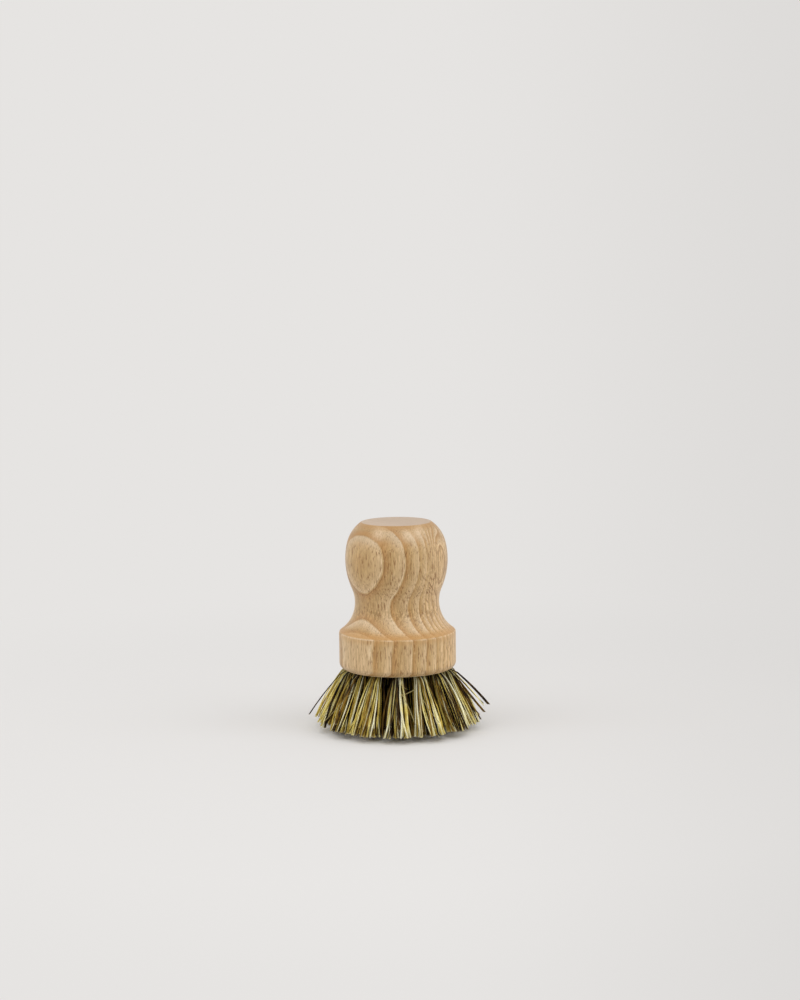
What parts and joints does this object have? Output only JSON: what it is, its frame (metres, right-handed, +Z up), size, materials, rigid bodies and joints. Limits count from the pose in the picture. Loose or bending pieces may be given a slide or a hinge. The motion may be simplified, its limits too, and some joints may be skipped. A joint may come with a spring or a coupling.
{
  "type": "palm brush",
  "caption": "Round palm brush for pots and dishes: a turned beech knob handle with a drum-shaped base and a splayed, slightly domed skirt of stiff palm-fibre bristles.",
  "frame": {"origin": "on the surface that the brush stands on, on the axis of the turned handle", "axes": "+Z up along the handle's axis from the bristle tips to the knob; -Y towards the picture's viewer, +X to the viewer's right"},
  "size_m": [0.0776, 0.0709, 0.0895],
  "materials": {
    "beech": "satin, sanded, thinly oiled beech with upright grain",
    "palm_fibre": "matte mixed plant fibre, cream, olive-yellow and dark brown",
    "staple_wire": "drawn flat wire"
  },
  "bodies": {
    "root": {"handle": "beech", "tuft_inner_01": "palm_fibre", "tuft_inner_02": "palm_fibre", "tuft_inner_03": "palm_fibre", "tuft_middle_01": "palm_fibre", "tuft_middle_02": "palm_fibre", "tuft_middle_03": "palm_fibre", "tuft_middle_04": "palm_fibre", "tuft_middle_05": "palm_fibre", "tuft_middle_06": "palm_fibre", "tuft_middle_07": "palm_fibre", "tuft_middle_08": "palm_fibre", "tuft_outer_01": "palm_fibre", "tuft_outer_02": "palm_fibre", "tuft_outer_03": "palm_fibre", "tuft_outer_04": "palm_fibre", "tuft_outer_05": "palm_fibre", "tuft_outer_06": "palm_fibre", "tuft_outer_07": "palm_fibre", "tuft_outer_08": "palm_fibre", "tuft_outer_09": "palm_fibre", "tuft_outer_10": "palm_fibre", "tuft_outer_11": "palm_fibre", "tuft_outer_12": "palm_fibre", "tuft_outer_13": "palm_fibre", "tuft_outer_14": "palm_fibre", "staples_inner": "staple_wire", "staples_middle": "staple_wire", "staples_outer": "staple_wire"}
  },
  "joints": []
}
